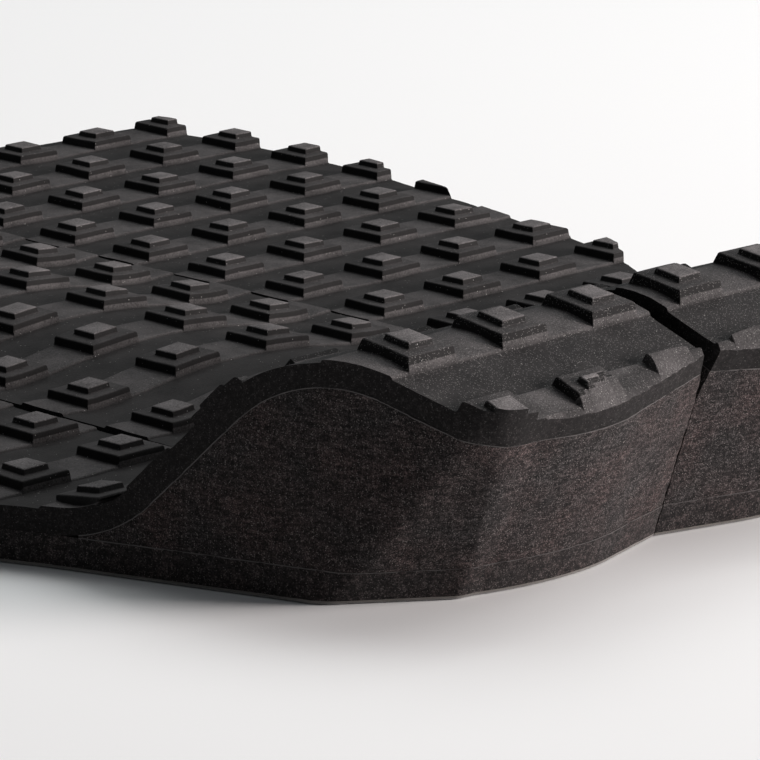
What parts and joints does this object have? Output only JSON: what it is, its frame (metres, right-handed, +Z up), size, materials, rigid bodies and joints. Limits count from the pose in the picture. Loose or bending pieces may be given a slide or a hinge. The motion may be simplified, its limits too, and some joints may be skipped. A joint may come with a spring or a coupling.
{
  "type": "foam traction pad with kick tail",
  "caption": "Black foam traction pad split lengthwise, with stepped square grip blocks, an arched middle and a high ground-foam kick at the rear.",
  "frame": {"origin": "under the middle of the pad's bounding box, on the face of the release liners", "axes": "+X to the pad's right, +Y towards its nose, +Z up out of the grip surface"},
  "size_m": [0.2772, 0.2922, 0.0422],
  "materials": {
    "grip_skin_foam": "matte moulded closed-cell foam, fine skin",
    "base_foam": "matte cut closed-cell foam, fine speckle",
    "ground_core_foam": "coarse ground foam with a speckled cut face",
    "adhesive_film": "pale pressure-sensitive adhesive",
    "liner_paper": "coated dark release paper"
  },
  "bodies": {
    "root": {"left_deck_skin": "grip_skin_foam", "left_base_layer": "base_foam", "left_adhesive_sheet": "adhesive_film", "left_release_liner": "liner_paper", "right_deck_skin": "grip_skin_foam", "right_base_layer": "base_foam", "right_adhesive_sheet": "adhesive_film", "right_release_liner": "liner_paper", "centre_deck_skin": "grip_skin_foam", "centre_base_layer": "base_foam", "centre_adhesive_sheet": "adhesive_film", "centre_release_liner": "liner_paper", "left_kick_core": "ground_core_foam", "right_kick_core": "ground_core_foam", "centre_arch_core": "ground_core_foam"}
  },
  "joints": []
}
